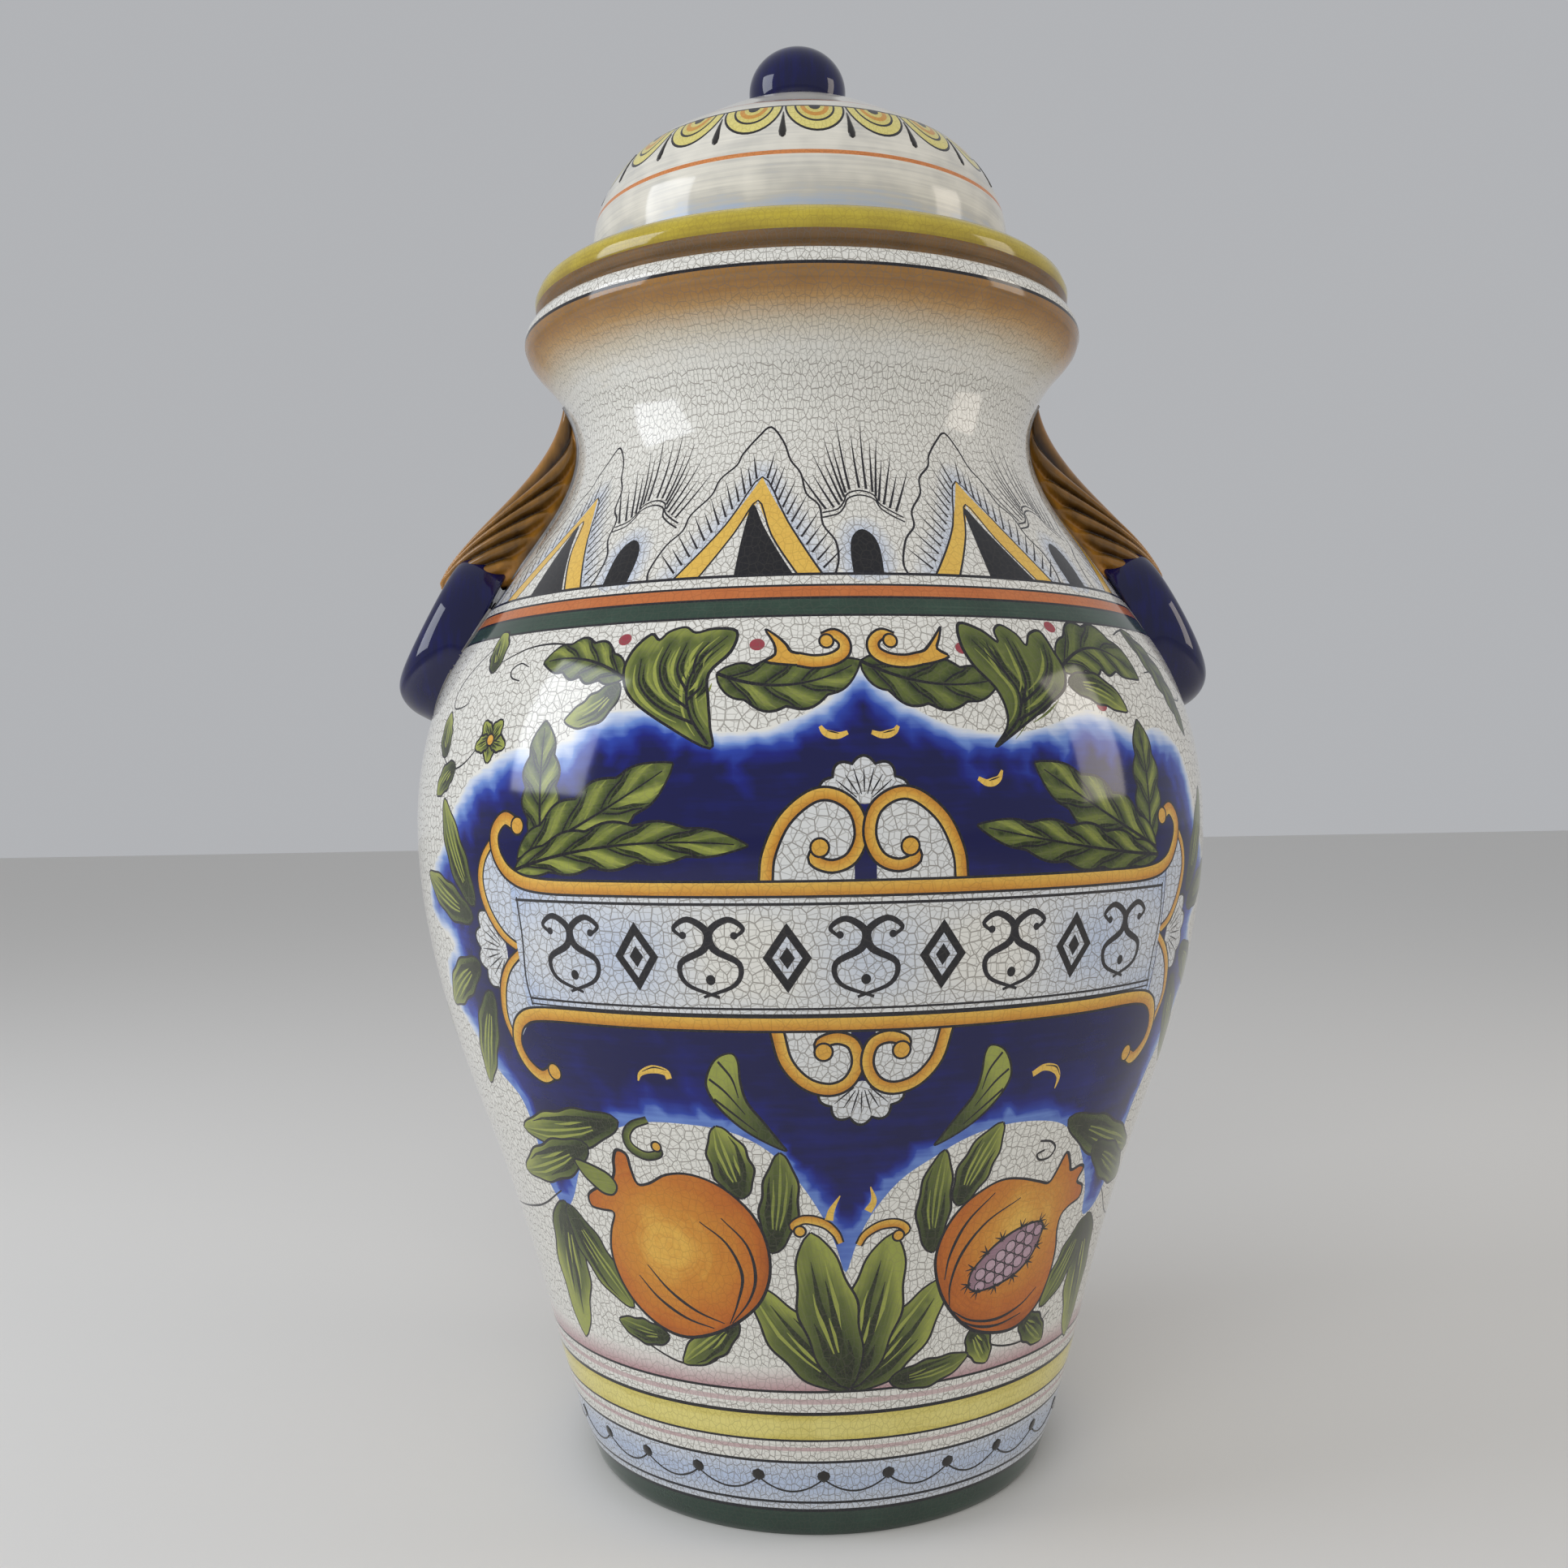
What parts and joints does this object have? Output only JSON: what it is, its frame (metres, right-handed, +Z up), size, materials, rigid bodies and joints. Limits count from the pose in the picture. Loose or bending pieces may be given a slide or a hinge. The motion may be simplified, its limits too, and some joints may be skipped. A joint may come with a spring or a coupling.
{
  "type": "apothecary jar",
  "caption": "Tall lidded earthenware jar with a domed knobbed lid, leaf lugs holding fixed rings, and painted tin glaze.",
  "frame": {"origin": "on the table under the jar's axis", "axes": "+Z up along the jar's axis, the painted front faces -Y, the two handles are on +X and -X"},
  "size_m": [0.3504, 0.3324, 0.6016],
  "materials": {
    "white_glaze": "gloss",
    "amber_glaze": "gloss",
    "cobalt_glaze": "gloss"
  },
  "bodies": {
    "jar": {"jar_body": "white_glaze", "left_lug": "amber_glaze", "right_lug": "amber_glaze", "left_ring": "cobalt_glaze", "right_ring": "cobalt_glaze"},
    "lid": {"lid_dome": "white_glaze", "lid_knob": "cobalt_glaze"}
  },
  "joints": [
    {"name": "lid_lift", "type": "slide", "parent": "jar", "child": "lid", "axis": [0, 0, 1], "range_m": [0, 0.2]}
  ]
}
